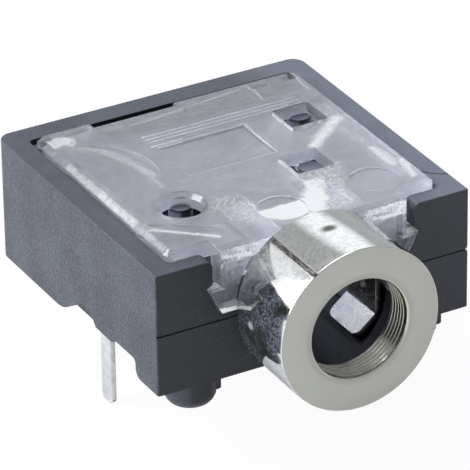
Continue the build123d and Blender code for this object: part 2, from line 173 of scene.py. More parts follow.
def place_mm(tree):
    """The place on the object in millimetres, as a vector and as x, y and z."""
    here = add(tree, "ShaderNodeTexCoord").outputs["Object"]
    scaled = add(tree, "ShaderNodeVectorMath", {0: here, "Scale": 1 / MM}, operation="SCALE").outputs[0]
    parts = add(tree, "ShaderNodeSeparateXYZ", {0: scaled}).outputs
    return Value(scaled), Value(parts["X"]), Value(parts["Y"]), Value(parts["Z"])


def speckle(at, grain_mm, detail=2.0, roughness=0.5, press=(1, 1, 1)):
    """Noise with grains of a real size. An axis that is pressed under 1 draws them out that way."""
    per_grain = tuple(share / grain_mm for share in press)
    scaled = add(at.tree, "ShaderNodeVectorMath", {0: at, 1: per_grain}, operation="MULTIPLY").outputs[0]
    inputs = {"Vector": scaled, "Scale": 1.0, "Detail": detail, "Roughness": roughness}
    return Value(add(at.tree, "ShaderNodeTexNoise", inputs, noise_dimensions="3D").outputs["Fac"])


def look(tree, axis):
    """The share of a face's normal that lies along one of the object's axes."""
    normal = add(tree, "ShaderNodeTexCoord").outputs["Normal"]
    return Value(add(tree, "ShaderNodeSeparateXYZ", {0: normal}).outputs[axis])


def facing(tree, axis, low, high):
    """How far a face looks along one of the object's axes: 0 at the low cosine and 1 at the high one."""
    return spread(look(tree, axis), low, high)


def raised(height, distance_mm, strength, normal=None):
    """A bump whose full height is a real one, on top of another bump if one is given."""
    inputs = {"Height": height, "Strength": strength, "Distance": distance_mm * MM}
    if normal is not None:
        inputs["Normal"] = normal
    return Value(add(height.tree, "ShaderNodeBump", inputs).outputs["Normal"])


def paint(code, *coats):
    """A hex colour with others laid over it in turn, each by its share."""
    # Inputs 6 and 7 and output 2 are the Mix node's colour sockets
    colour = linear(code)
    for share, coat in coats:
        inputs = {"Factor": share, 6: colour, 7: linear(coat)}
        colour = Value(add(share.tree, "ShaderNodeMix", inputs, data_type="RGBA").outputs[2])
    return colour


def new_material(name):
    """A material with an empty node tree."""
    material = bpy.data.materials.new(name)
    material.use_nodes = True
    material.node_tree.nodes.clear()
    return material, material.node_tree


# Finishes


# The housing's box and the plug's way through it, in millimetres
BOX_X = (-5.1, 5.1)
BOX_Y = (3.8, 13.6)
BOX_LOW = -1.6
PLUG_WAY_EDGE = (2.1, 2.2)
PLUG_WAY_END = 13.0


def moulded_pbt(props):
    """Black glass-filled PBT from a spark-eroded mould: an even sandy grain with pale specks of glass."""
    material, tree = new_material("moulded_pbt")
    at, x, y, z = place_mm(tree)
    cloud = speckle(at, 1.6, detail=4.0)
    # The mould's grain is about 0.03 mm, and the glass is finer, and both are drawn coarser so that they show
    grain = speckle(at, 0.09, roughness=0.6)
    tops = facing(tree, "Z", 0.7, 0.9)
    front = 1 - facing(tree, "Y", -0.95, -0.8)
    sides = most(facing(tree, "X", 0.5, 0.9), 1 - facing(tree, "X", -0.9, -0.5))

    # Glass specks and pits, which show most on the side walls
    specks = spread(speckle(at, 0.05, detail=1.0), 0.6, 0.75) * (sides * 0.42 + 0.1)
    pits = spread(speckle(at, 0.07, detail=1.0), 0.36, 0.46, 1.0, 0.0) * sides

    # Painted light and shade: the tops are painted paler towards the right, where less lamp light falls, the
    # ledges and the box's inside are painted paler against the shade in them, and the plug's way is painted
    # dark as shade
    painted_light_right_tops = tops * spread(x, 2.0, 5.6, 0.0, 0.26)
    painted_light_ledges = tops * band(z, props.cover_low - 0.05, props.cover_low + 0.05, 0.02)
    inner = band(x, *BOX_X) * band(y, *BOX_Y) * band(z, BOX_LOW, props.cover_low - 0.1)
    radius = (x * x + z * z).then("SQRT")
    painted_shade_plug_way = spread(radius, *PLUG_WAY_EDGE, 1.0, 0.0) * (y < PLUG_WAY_END)
    colour = paint(
        props.pbt_dark,
        (spread(cloud, 0.35, 0.65), props.pbt_light),
        (specks, props.pbt_fleck_and_painted_light),
        (pits * 0.6, props.pbt_pits_and_painted_shade),
        (painted_light_right_tops, props.pbt_fleck_and_painted_light),
        (painted_light_ledges * 0.35, props.pbt_fleck_and_painted_light),
        # Painted light in the box's inside, in place of the light that the cover keeps out
        (inner * 0.7, props.pbt_fleck_and_painted_light),
        (painted_shade_plug_way, props.pbt_pits_and_painted_shade),
        # Painted shade on the front, less of it towards the right
        (front * spread(x, -4.0, 5.0, 0.98, 0.68), props.pbt_pits_and_painted_shade),
    )
    shader = add(tree, "ShaderNodeBsdfPrincipled", {
        "Base Color": colour,
        "Roughness": front * -0.16 + spread(grain, 0.3, 0.7, 0.42, 0.6, smooth=False),
        "Normal": raised(grain, 0.02, sides * 0.75 + 0.22),
        "IOR": 1.45,
    })
    add(tree, "ShaderNodeOutputMaterial", {"Surface": shader.outputs[0]})
    return material


# Painted highlights where the ribs under the cover show in its top face: two ends and half the width in
# millimetres, and whiteness
RIB_HIGHLIGHTS = (
    ((-5.1, 10.9), (-5.08, 8.6), 0.12, 0.4),
    ((-5.08, 8.6), (-5.04, 6.2), 0.13, 0.6),
    ((-5.04, 6.2), (-5.02, 4.2), 0.1, 0.3),
    ((-4.2, 11.85), (-3.62, 11.16), 0.15, 0.18),
    ((-3.62, 11.16), (-3.19, 9.97), 0.18, 0.26),
    ((-3.19, 9.97), (-3.03, 8.95), 0.18, 0.32),
    ((-3.03, 8.95), (-3.12, 7.9), 0.14, 0.22),
    ((-4.83, 5.41), (-3.1, 3.9), 0.09, 0.65),
    ((2.82, 7.88), (4.48, 9.26), 0.19, 0.78),
    ((4.43, 8.1), (4.45, 6.74), 0.1, 0.18),
    ((4.45, 6.74), (4.46, 5.4), 0.13, 0.65),
    ((4.87, 5.5), (4.58, 4.3), 0.1, 0.6),
    ((-3.0, 12.4), (2.8, 13.08), 0.05, 0.3),
    ((3.0, 11.8), (3.13, 13.2), 0.05, 0.3),
    ((3.0, 11.75), (4.8, 11.65), 0.05, 0.15),
    ((4.75, 11.7), (4.85, 13.0), 0.05, 0.3),
    ((-2.0, 10.62), (-0.9, 10.62), 0.05, 0.7),
)

# Round places on the cover: middle and radii in millimetres, seen from above
# Painted glare on the left, over the plug
LEFT_PATCH = ((-0.25, 4.6), (0.95, 0.9))
HAZE = ((-1.75, 5.3), (0.8, 1.1))
RIGHT_DISC = ((3.35, 4.8), (0.8, 0.8))
# Painted shade at the left
GREY_CORNER = ((-4.1, 4.7), (1.0, 0.7))
HOLE_R = 0.95
HOLE_RIM_R = 1.05

# Ranges on the cover, across and along: low end, high end and softness in millimetres
# Ranges of the painted glare, down to the corner patch
LEFT_PATCH_Y = (3.0, 4.85)
RIGHT_PATCH = ((-1.55, -0.75, 0.15), (3.5, 5.8, 0.25))
SPECKLED_PATCH = ((-1.7, 0.1, 0.3), (3.4, 6.4, 0.3))
CORNER_PATCH = ((-5.1, -4.1, 0.15), (12.2, 12.75, 0.15))
MARKED_AREA = ((-4.6, 4.6, 0.1), (3.9, 12.2, 0.1))
# Ranges of the painted shade at the rear
REAR_BAND = ((-2.9, 2.6, 0.1), (11.7, 12.5, 0.06))
REAR_SQUARE = ((3.0, 4.7, 0.06), (11.75, 12.85, 0.06))
WINDOW_HALF = 0.8

# Heights in millimetres: the lower rim's top, the middle of the hooks, and the top of the nose's sill
LOW_RIM_TOP = 0.34
HOOK_MIDDLE = 1.1
SILL_TOP = 1.3

# How far over the plate's underside its top faces begin, and the walls of the marks in them
TOP_FROM = 0.3
WALLS_FROM = 0.36


def cover_faces(tree, props):
    """What the cover's finish is made from at each place: masks for its faces and openings, and noises."""
    at, x, y, z = place_mm(tree)
    low, sunk = props.cover_low, props.sunk_y
    here = SimpleNamespace(at=at, x=x, y=y, z=z, plan=(x, y))
    here.blotch = speckle(at, 0.45, detail=5.0, roughness=0.6)
    here.fine = speckle(at, 0.14, detail=4.0, roughness=0.65)
    here.wobble = here.blotch - 0.5
    here.wavy = here.wobble * 0.3 + y
    here.upright = 1 - look(tree, "Z").then("ABSOLUTE")
    here.front = 1 - facing(tree, "Y", -0.95, -0.8)
    here.under = spread(y, sunk + 0.1, sunk + 0.2) * spread(z, low + 0.01, low + 0.04, 1.0, 0.0)
    here.top = facing(tree, "Z", 0.9, 0.98) * spread(z, low + TOP_FROM, low + TOP_FROM + 0.05)
    here.sunk = here.front * band(y, sunk - 0.03, sunk + 0.03, 0.02)
    here.rim = here.front * (y < sunk - 0.1) * spread((z - HOOK_MIDDLE).then("ABSOLUTE"), 0.6, 0.8, 0.4, 1.0)
    here.low_rim = here.rim * (z < LOW_RIM_TOP)
    here.height = spread(z, 0.7, 2.0)
    here.hole = here.upright * spot(here.plan, props.hole_at, (HOLE_R, HOLE_R), soft=0.1)
    here.openings = spot(here.plan, props.hole_at, (HOLE_RIM_R, HOLE_RIM_R), soft=0.1)
    for middle in (props.rear_window, props.front_window):
        window = patch(here.plan, [(m - WINDOW_HALF, m + WINDOW_HALF) for m in middle])
        here.openings = most(here.openings, here.upright * window)
    return here


def cover_bloom_and_glare(tree, here, props):
    """How milky the cover is at each place, from 0 to 1, with the painted glare and highlights in it."""
    # Painted glare: white patches over the plug, beside them, and in the rear left corner, where the cover
    # mirrors studio light
    ragged = here.wobble * 1.4 + here.y
    slant = here.y * -0.46 + (here.wobble * 0.9 + here.x)
    left = spot(here.plan, *LEFT_PATCH, soft=0.06) * band(here.wavy, *LEFT_PATCH_Y)
    right = patch((slant, ragged), RIGHT_PATCH)
    speckled = patch((slant, ragged), SPECKLED_PATCH) * spread(here.fine, 0.42, 0.62, 0.1, 0.6)
    corner = patch((here.x + here.wobble, ragged), CORNER_PATCH)
    painted_glare = most(left, right, speckled, corner * 0.7)
    low_face = here.under * (1 - here.upright)
    bloom_and_glare = most(
        here.under * here.upright * props.rib_bloom,
        painted_glare * low_face * 0.4,
        painted_glare * here.top * props.glare_whiteness,
    )

    # Chalky streaks on the apron's sunk face and its rim, drawn coarser than real ones, and a painted
    # highlight on the lower rim
    streak = speckle(here.at, 0.16, detail=4.0, press=(0.2, 1, 1))
    drawn = speckle(here.at, 0.06, detail=3.0, roughness=0.7, press=(1, 1, 0.3))
    chalk = spread(streak, 0.38, 0.6) * 0.35 + spread(drawn, 0.45, 0.6, 0.0, 0.65)
    bloom_and_glare = most(
        bloom_and_glare,
        here.sunk * (chalk * (here.height * 0.4 + 0.38)),
        here.rim * spread(streak * 0.5 + drawn * 0.5, 0.42, 0.58, 0.05, 0.7),
        here.low_rim * 0.95,
        here.hole * 0.05,
    )

    # Thin milky blotches and specks all over, and a haze beside the hole
    haze = spot(here.plan, *HAZE, soft=0.6) * spread(here.fine, 0.38, 0.62, 0.05, 0.4)
    bloom_and_glare = most(
        bloom_and_glare,
        spread(here.blotch, 0.44, 0.7, 0.0, 0.11),
        haze * here.top,
        spread(here.fine, 0.4, 0.72, 0.0, 0.07),
        spread(speckle(here.at, 0.06, roughness=0.6), 0.48, 0.72, 0.0, 0.16),
    )

    # Painted highlights: soft white lines over the ribs
    over = facing(tree, "Z", 0.5, 0.7) * (here.z > props.cover_low + TOP_FROM)
    over = over * spread(here.fine, 0.3, 0.6, 0.65, 1.1)
    wavy_plan = (here.wobble * 0.25 + here.x, here.y)
    for start, end, half_width, whiteness in RIB_HIGHLIGHTS:
        bloom_and_glare = most(bloom_and_glare, stroke(wavy_plan, start, end, half_width) * over * whiteness)

    # White walls round the marks in the top face, but not round the openings, and a painted highlight on the
    # sill over the nose
    marks = patch(here.plan, MARKED_AREA) * (1 - here.openings)
    walls = here.upright * (here.z > props.cover_low + WALLS_FROM)
    sill_highlight = facing(tree, "Z", 0.5, 0.8) * (here.y < props.sunk_y) * (here.z < SILL_TOP)
    return most(bloom_and_glare, walls * marks * 0.32, spot(here.plan, *RIGHT_DISC, soft=0.1) * 0.1, sill_highlight * 0.85)


def cover_colour(here, cloud, props):
    """The tint of the clear plastic, with painted shade: greyer at the rear, at the left and in the openings,
    and darker low in the apron's sunk face.
    """
    rear_shade = spread(here.y, 8.5, 12.8) * spread(here.x, -4.5, 4.0, 0.45, 1.0)
    rear_band, rear_square = (patch((here.x, here.wavy), ranges) for ranges in (REAR_BAND, REAR_SQUARE))
    grey_shade = most(here.openings, spot(here.plan, *GREY_CORNER, soft=0.5), spread(here.x, -3.2, -1.2, 0.4, 0.0))
    return paint(
        props.clear_dark,
        (spread(cloud, 0.3, 0.7), props.clear_light),
        (most(rear_shade, rear_band, rear_square) * 0.85, props.clear_shade),
        (grey_shade * 0.8, props.clear_shade),
        # Painted shade, darker low in the apron's sunk face
        (here.sunk * (here.height * -0.4 + 0.6), props.clear_sunk_shade),
    )


def clear_polycarbonate(props):
    """Clear polycarbonate, polished on top and blasted underneath: glassy, with a soft view of its inside."""
    material, tree = new_material("clear_polycarbonate")
    here = cover_faces(tree, props)
    cloud = speckle(here.at, 1.4, detail=3.0)
    depth = here.sunk * 0.9 + (here.under * 0.25 + 0.1)
    rough = most(spread(cloud, 0.3, 0.7, 0.08, 0.14), here.under * 0.42, most(here.sunk, here.hole) * 0.4)
    glass = add(tree, "ShaderNodeBsdfPrincipled", {
        "Base Color": cover_colour(here, cloud, props),
        "Roughness": rough,
        "Normal": raised(speckle(here.at, 0.1), 0.03, depth, raised(here.blotch, 0.02, 0.18)),
        "IOR": 1.58,
        "Transmission Weight": props.clear_share,
    }).outputs[0]

    # The bloom scatters light back and also lets it soak through, least at the lower rim, whose painted
    # highlight is mostly scattered white
    white = add(tree, "ShaderNodeBsdfDiffuse", {"Color": linear(props.bloom_and_glare)}).outputs[0]
    through = add(tree, "ShaderNodeBsdfTranslucent", {"Color": linear(props.bloom_and_glare)}).outputs[0]
    soaked = here.low_rim * -0.72 + (here.front * 0.3 + 0.5)
    milky = add(tree, "ShaderNodeMixShader", {0: soaked, 1: white, 2: through}).outputs[0]
    bloom_and_glare = cover_bloom_and_glare(tree, here, props)
    clear = add(tree, "ShaderNodeMixShader", {0: bloom_and_glare, 1: glass, 2: milky}).outputs[0]

    # Light also passes straight through, so that the contacts under the cover are lit
    shadow = Value(add(tree, "ShaderNodeLightPath").outputs["Is Shadow Ray"])
    passed = add(tree, "ShaderNodeBsdfTransparent", {"Color": linear(props.clear_light)}).outputs[0]
    mixed = add(tree, "ShaderNodeMixShader", {0: shadow * 0.95, 1: clear, 2: passed}).outputs[0]
    add(tree, "ShaderNodeOutputMaterial", {"Surface": mixed})
    return material


# The barrel's radius and half the width of its painted dark reflection line, in millimetres
BARREL_R = 3.0
REFLECTION_HALF_WIDTH = 0.11

# Marks on the barrel: turn from +X in degrees, and depth and radii in millimetres
STAIN = (93, 1.78, (0.26, 0.18))
PALE_MARK = (180, 2.05, (0.14, 0.17))


def nickel_plate(props):
    """Nickel plating on turned brass: a bright barrel with stains and a painted dark reflection line, and a
    dull faced end.
    """
    material, tree = new_material("nickel_plate")
    at, x, y, z = place_mm(tree)
    radius = (x * x + z * z).then("SQRT")
    turn = z.then("ARCTAN2", x).then("DEGREES")
    turn = turn + (turn < 0.0) * 360.0
    around = turn.then("RADIANS") * BARREL_R
    barrel = facing(tree, "Y", -0.98, -0.9)
    end_face = 1 - barrel
    inside = spread(radius, 2.0, 2.1, 1.0, 0.0)
    mottle = speckle(at, 0.16, detail=4.0, roughness=0.7)
    cloud = speckle(at, 0.8, detail=3.0)
    # The grains that break up the painted reflection line and the film are real ones made coarser, so that
    # they show
    dots = speckle(at, 0.07, detail=3.0, roughness=0.7)

    # A painted dark reflection in a line along the barrel, a dark stain and a pale one
    reflection_apart = ((around - props.reflection_turn * BARREL_R) / REFLECTION_HALF_WIDTH).then("ABSOLUTE")
    line = spread(reflection_apart, 0.65, 1.35, 1.0, 0.0) * spread(dots, 0.36, 0.56, 0.75, 1.0)
    stain, pale = (
        spot((around, y), (math.radians(degrees) * BARREL_R, depth), radii, soft=soft)
        for (degrees, depth, radii), soft in ((STAIN, 0.55), (PALE_MARK, 0.4))
    )
    # The marks hold the painted dark reflection line and the stain
    marks = most(line, stain * 0.85) * barrel
    colour = paint(
        props.nickel_light,
        (spread(mottle, 0.4, 0.7), props.nickel_dark),
        (end_face, props.nickel_face),
        (inside * barrel, props.nickel_bore),
        (marks, props.nickel_stain_and_reflection),
    )
    metal = add(tree, "ShaderNodeBsdfPrincipled", {
        "Base Color": colour,
        "Roughness": spread(cloud, 0.3, 0.7, 0.07, 0.11) + end_face * 0.36 + marks * 0.45 + inside * 0.12,
        "Normal": raised(mottle, 0.002, 0.3),
        "Metallic": 1.0,
    }).outputs[0]

    # A thin dull film in clouds, which shows where the barrel mirrors something dark
    film = spread(cloud, 0.34, 0.56) * spread(dots, 0.45, 0.57) * spread(turn, 135.0, 160.0)
    film = most(film * props.film_share, pale * 0.9) * barrel
    tint = paint(props.film, (pale, props.nickel_face))
    dull = add(tree, "ShaderNodeBsdfDiffuse", {"Color": tint}).outputs[0]
    mixed = add(tree, "ShaderNodeMixShader", {0: film, 1: metal, 2: dull}).outputs[0]
    add(tree, "ShaderNodeOutputMaterial", {"Surface": mixed})
    return material


def silver_plate(props):
    """Bright silver plating on stamped strip: fine rolling lines, and a brown-grey tarnish near the top."""
    material, tree = new_material("silver_plate")
    at, _, y, z = place_mm(tree)
    mottle = speckle(at, 0.3, detail=3.0)
    # Rolling lines are about 0.01 mm apart, and are drawn coarser so that they show
    rolled = speckle(at, 0.05, press=(1, 0.12, 1))
    in_nose = spread(y, props.nose_end - 0.3, props.nose_end, 1.0, 0.0)
    tarnish = in_nose * spread(z, -0.9, 0.5)
    colour = paint(
        props.silver_light,
        (spread(mottle, 0.35, 0.7), props.silver_dark),
        (in_nose * 0.6, props.silver_nose),
        (tarnish * 0.9, props.tarnish),
    )
    metal = add(tree, "ShaderNodeBsdfPrincipled", {
        "Base Color": colour,
        "Roughness": spread(mottle, 0.3, 0.7, 0.18, 0.28) + rolled * 0.12,
        "Normal": raised(rolled, 0.004, 0.4),
        "Metallic": 1.0,
    })
    add(tree, "ShaderNodeOutputMaterial", {"Surface": metal.outputs[0]})
    return material


# Shapes


# Corners closer than this are one, faces within the first angle are flat, and the second one is a crease
MERGE_MM = 0.0008
FLAT_DEG = 0.5
CREASE_DEG = 40

# An edge is rounded only over this angle, and where this many radii are free beside it
SHARP_DEG = 60
MOULDED_SHARP_DEG = 35
BEVEL_ROOM = 3.5

# Steps round the sleeve, over each of its rounded corners, round a ring and round a ring's ridge
TURNED_STEPS = 192
CORNER_STEPS = 4
RING_STEPS = 144
RIDGE_STEPS = 6


def own_object(name, mesh, material):
    """An object at the origin for a mesh, with the material as its only one, linked to the scene."""
    piece = bpy.data.objects.new(name, mesh)
    bpy.context.scene.collection.objects.link(piece)
    mesh.materials.clear()
    mesh.materials.append(material)
    return piece


def settle(piece):
    """Turns a piece's modifiers into plain mesh."""
    graph = bpy.context.evaluated_depsgraph_get()
    mesh = bpy.data.meshes.new_from_object(piece.evaluated_get(graph))
    piece.modifiers.clear()
    piece.data = mesh
    return piece


def shade(mesh):
    """Smooth faces, with creases where they meet at a sharp angle."""
    bm = bmesh.new()
    bm.from_mesh(mesh)
    for face in bm.faces:
        face.smooth = True
    for edge in bm.edges:
        edge.smooth = not edge.is_manifold or edge.calc_face_angle() < math.radians(CREASE_DEG)
    bm.to_mesh(mesh)
    bm.free()


def width_beside(loop):
    """How wide a face is beside one of its edges, where it is narrowest of four places along it."""
    start, end = loop.vert.co, loop.link_loop_next.vert.co
    along = (end - start).normalized()
    inward = loop.face.normal.cross(along)
    width = math.inf
    for other in loop.face.loops:
        if other in (loop, loop.link_loop_next, loop.link_loop_prev):
            continue
        for share in (0.05, 0.35, 0.65, 0.95):
            here = start.lerp(end, share)
            a, b = other.vert.co - here, other.link_loop_next.vert.co - here
            before, after = a.dot(along), b.dot(along)
            if before * after <= 0 and before != after:
                reach = a.lerp(b, before / (before - after)).dot(inward)
                if reach > 0:
                    width = min(width, reach)
    return width


def has_room(edge, room):
    """Whether the faces beside an edge, and the edges that turn off at its ends, reach past a bevel on it."""
    if min(width_beside(loop) for loop in edge.link_loops) < room:
        return False
    along = (edge.verts[1].co - edge.verts[0].co).normalized()
    for vert in edge.verts:
        for other in vert.link_edges:
            run = other.other_vert(vert).co - vert.co
            if run.length < room and abs(run.normalized().dot(along)) < 0.9:
                return False
    return True


def softened(name, node, radius_mm, sharp_deg, material):
    """A copy of a solid whose outer edges are rounded, as moulding or stamping leaves them."""
    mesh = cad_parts[node].data.copy()
    mesh.name = name
    bm = bmesh.new()
    bm.from_mesh(mesh)
    bmesh.ops.remove_doubles(bm, verts=bm.verts, dist=MERGE_MM * MM)
    bmesh.ops.dissolve_limit(bm, angle_limit=math.radians(FLAT_DEG), verts=bm.verts, edges=bm.edges)
    weight = bm.edges.layers.float.new("bevel_weight_edge")
    for edge in bm.edges:
        if edge.is_manifold and edge.is_convex and edge.calc_face_angle() > math.radians(sharp_deg):
            if has_room(edge, BEVEL_ROOM * radius_mm * MM):
                edge[weight] = 1
    for face in bm.faces:
        face.smooth = True
    bm.to_mesh(mesh)
    bm.free()
    if "custom_normal" in mesh.attributes:
        mesh.attributes.remove(mesh.attributes["custom_normal"])
    piece = own_object(name, mesh, material)
    bevel = piece.modifiers.new("edges", "BEVEL")
    bevel.width = radius_mm * MM
    bevel.segments = 2
    bevel.limit_method = "WEIGHT"
    bevel.use_clamp_overlap = False
    settle(piece)
    shade(piece.data)
    normals = piece.modifiers.new("normals", "WEIGHTED_NORMAL")
    normals.keep_sharp = True
    settle(piece)
    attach(piece, BODY)
    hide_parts(node)
    return piece


def rounded_profile(corners):
    """A closed profile from corners of radius, y and how far from each its rounding begins."""
    profile = []
    for i, (r, y, round_by) in enumerate(corners):
        here = Vector((r, y))
        before, after = Vector(corners[i - 1][:2]), Vector(corners[(i + 1) % len(corners)][:2])
        start = here + (before - here).normalized() * round_by
        end = here + (after - here).normalized() * round_by
        for step in range(CORNER_STEPS + 1):
            t = step / CORNER_STEPS
            profile.append(start * (1 - t) ** 2 + here * 2 * t * (1 - t) + end * t ** 2)
    return profile


def lathe(name, profile, material):
    """A ring about the Y axis, turned from a closed profile of (radius, y) in millimetres."""
    bm = bmesh.new()
    rings = []
    for step in range(TURNED_STEPS):
        turn = 2 * math.pi * step / TURNED_STEPS
        ring = [bm.verts.new((r * math.cos(turn) * MM, y * MM, r * math.sin(turn) * MM)) for r, y in profile]
        rings.append(ring)
    for here, there in zip(rings, rings[1:] + rings[:1]):
        for i in range(len(profile)):
            bm.faces.new((here[i - 1], here[i], there[i], there[i - 1]))
    bmesh.ops.recalc_face_normals(bm, faces=bm.faces)
    mesh = bpy.data.meshes.new(name)
    bm.to_mesh(mesh)
    bm.free()
    return own_object(name, mesh, material)


def ring_rows():
    """A node group that sets equal rings in a row along Y, around that axis."""
    group = bpy.data.node_groups.new("ring_rows", "GeometryNodeTree")
    sockets = group.interface
    sockets.new_socket("Count", in_out="INPUT", socket_type="NodeSocketInt")
    for name in ("Pitch", "Start", "Radius", "Ridge"):
        sockets.new_socket(name, in_out="INPUT", socket_type="NodeSocketFloat").subtype = "DISTANCE"
    sockets.new_socket("Finish", in_out="INPUT", socket_type="NodeSocketMaterial")
    sockets.new_socket("Geometry", in_out="OUTPUT", socket_type="NodeSocketGeometry")
    given = add(group, "NodeGroupInput").outputs
    start = add(group, "ShaderNodeCombineXYZ", {"Y": given["Start"]}).outputs[0]
    pitch = add(group, "ShaderNodeCombineXYZ", {"Y": given["Pitch"]}).outputs[0]
    line = {"Count": given["Count"], "Start Location": start, "Offset": pitch}
    places = add(group, "GeometryNodeMeshLine", line).outputs[0]
    circles = []
    for steps, radius in ((RING_STEPS, given["Radius"]), (RIDGE_STEPS, given["Ridge"])):
        circle = add(group, "GeometryNodeCurvePrimitiveCircle", {"Resolution": steps, "Radius": radius})
        circles.append(circle.outputs[0])
    path, ridge = circles
    ring = add(group, "GeometryNodeCurveToMesh", {"Curve": path, "Profile Curve": ridge}).outputs[0]
    upright = {"Geometry": ring, "Rotation": (math.pi / 2, 0, 0)}
    turned = add(group, "GeometryNodeTransform", upright).outputs[0]
    row = add(group, "GeometryNodeInstanceOnPoints", {"Points": places, "Instance": turned}).outputs[0]
    real = add(group, "GeometryNodeRealizeInstances", {"Geometry": row}).outputs[0]
    smooth = add(group, "GeometryNodeSetShadeSmooth", {0: real, "Shade Smooth": True}).outputs[0]
    finish = {"Geometry": smooth, "Material": given["Finish"]}
    finished = add(group, "GeometryNodeSetMaterial", finish).outputs[0]
    add(group, "NodeGroupOutput", {"Geometry": finished})
    return group


def grow(piece, group, values):
    """Runs a node group on a piece with named values, and keeps the result as plain mesh."""
    nodes = piece.modifiers.new("nodes", "NODES")
    nodes.node_group = group
    for item in group.interface.items_tree:
        if item.item_type == "SOCKET" and item.in_out == "INPUT" and item.name in values:
            nodes[item.identifier] = values[item.name]
    settle(piece)


# Stage


STUDIO_LIGHT = (0.95, 0.98, 1.06, 1)
WHITE = (1, 1, 1, 1)

# Softboxes: their distance in metres, and for each its azimuth and elevation in degrees, its size in
# metres and its radiance
LAMP_DISTANCE = 0.2
LEFT_LAMP = (116, 32, 0.15, 9.5)
TOP_LAMP = (175, 72, 0.14, 4.2)
FRONT_LAMP = (5, 12, 0.1, 3.0)

# Soft bright places in the surroundings: azimuth, elevation and half width in degrees, and strength
BRIGHT_PLACES = ((147, 20, 24, 0.65), (209, 33, 19, 0.95))
PALE_LEVEL = 0.22
MIRRORED_LEVEL = 0.6

# The floor: its gap under the pins, its tone, and how far it glows to the camera and in mirroring faces
FLOOR_GAP_MM = 0.02
FLOOR_TONE = "#edeeee"
FLOOR_GLOW = 0.95
FLOOR_MIRRORED = 0.2

# What the lamps and the camera look at, in millimetres
LAMP_AIM_MM = (0, 8.5, 0)
CAMERA_AIM_MM = (0, 8.4915, -0.4711)
SENSOR_MM = 36


def heading(azimuth, elevation):
    """A direction from the socket. Azimuth 0 is in front and 90 on the left, in degrees."""
    turn, rise = math.radians(azimuth), math.radians(elevation)
    return Vector((-math.sin(turn) * math.cos(rise), -math.cos(turn) * math.cos(rise), math.sin(rise)))


def soft_lamp(name, azimuth, elevation, size, radiance):
    """A square softbox that faces the socket."""
    away = heading(azimuth, elevation)
    data = bpy.data.lights.new(name, "AREA")
    data.shape = "SQUARE"
    data.color = STUDIO_LIGHT[:3]
    data.size = size
    data.energy = radiance * math.pi * size ** 2
    lamp = bpy.data.objects.new(name, data)
    lamp.location = Vector(LAMP_AIM_MM) * MM + away * LAMP_DISTANCE
    lamp.rotation_euler = away.to_track_quat("Z", "Y").to_euler()
    bpy.context.scene.collection.objects.link(lamp)
    return lamp


def pale_floor(half):
    """A matt floor just under the pins, which is nearly white to the camera and keeps the object's shadow."""
    low = CAD_BOX[0][2] - FLOOR_GAP_MM * MM
    mesh = bpy.data.meshes.new("pale_floor")
    corners = [(-half, -half, low), (half, -half, low), (half, half, low), (-half, half, low)]
    mesh.from_pydata(corners, [], [(0, 1, 2, 3)])
    material, tree = new_material("pale_floor")
    seen = add(tree, "ShaderNodeLightPath").outputs
    direct = most(Value(seen["Is Camera Ray"]), Value(seen["Is Glossy Ray"]) * FLOOR_MIRRORED)
    matt = add(tree, "ShaderNodeBsdfDiffuse", {"Color": linear(FLOOR_TONE)}).outputs[0]
    glow = add(tree, "ShaderNodeEmission", {"Color": WHITE, "Strength": 1.0}).outputs[0]
    mixed = add(tree, "ShaderNodeMixShader", {0: direct * FLOOR_GLOW, 1: matt, 2: glow}).outputs[0]
    add(tree, "ShaderNodeOutputMaterial", {"Surface": mixed})
    own_object("pale_floor", mesh, material)


def pale_surroundings():
    """A white background for the camera, and a dim studio with two bright places for everything else."""
    world = bpy.data.worlds.new("pale_surroundings")
    world.use_nodes = True
    tree = world.node_tree
    tree.nodes.clear()
    seen = add(tree, "ShaderNodeLightPath").outputs
    mirrored = most(Value(seen["Is Glossy Ray"]), Value(seen["Is Transmission Ray"]))
    level = spread(mirrored, 0.0, 1.0, PALE_LEVEL, MIRRORED_LEVEL, smooth=False)
    looks = add(tree, "ShaderNodeTexCoord").outputs["Generated"]
    for azimuth, elevation, width, strength in BRIGHT_PLACES:
        inputs = {0: looks, 1: heading(azimuth, elevation)}
        near = Value(add(tree, "ShaderNodeVectorMath", inputs, operation="DOT_PRODUCT").outputs["Value"])
        edge, core = math.cos(math.radians(width)), math.cos(math.radians(width / 3))
        level = level + spread(near, edge, core, 0.0, strength)
    soft = add(tree, "ShaderNodeBackground", {"Color": STUDIO_LIGHT, "Strength": level}).outputs[0]
    white = add(tree, "ShaderNodeBackground", {"Color": WHITE, "Strength": 1.0}).outputs[0]
    back = add(tree, "ShaderNodeMixShader", {0: seen["Is Camera Ray"], 1: soft, 2: white}).outputs[0]
    add(tree, "ShaderNodeOutputWorld", {"Surface": back})
    return world


def photo_camera(props):
    """A camera at the viewing angle that was fitted to the photograph."""
    data = bpy.data.cameras.new("camera")
    data.lens = props.lens
    data.sensor_width = SENSOR_MM
    data.clip_start = 0.01
    data.clip_end = 10
    camera = bpy.data.objects.new("camera", data)
    aim = (
        Matrix.Rotation(-props.azimuth, 4, "Z")
        @ Matrix.Rotation(math.pi / 2 - props.elevation, 4, "X")
        @ Matrix.Rotation(props.roll, 4, "Z")
    )
    target = Vector(CAMERA_AIM_MM) * MM
    camera.matrix_world = Matrix.Translation(target) @ aim @ Matrix.Translation((0, 0, props.distance))
    bpy.context.scene.collection.objects.link(camera)
    return camera


# Settings


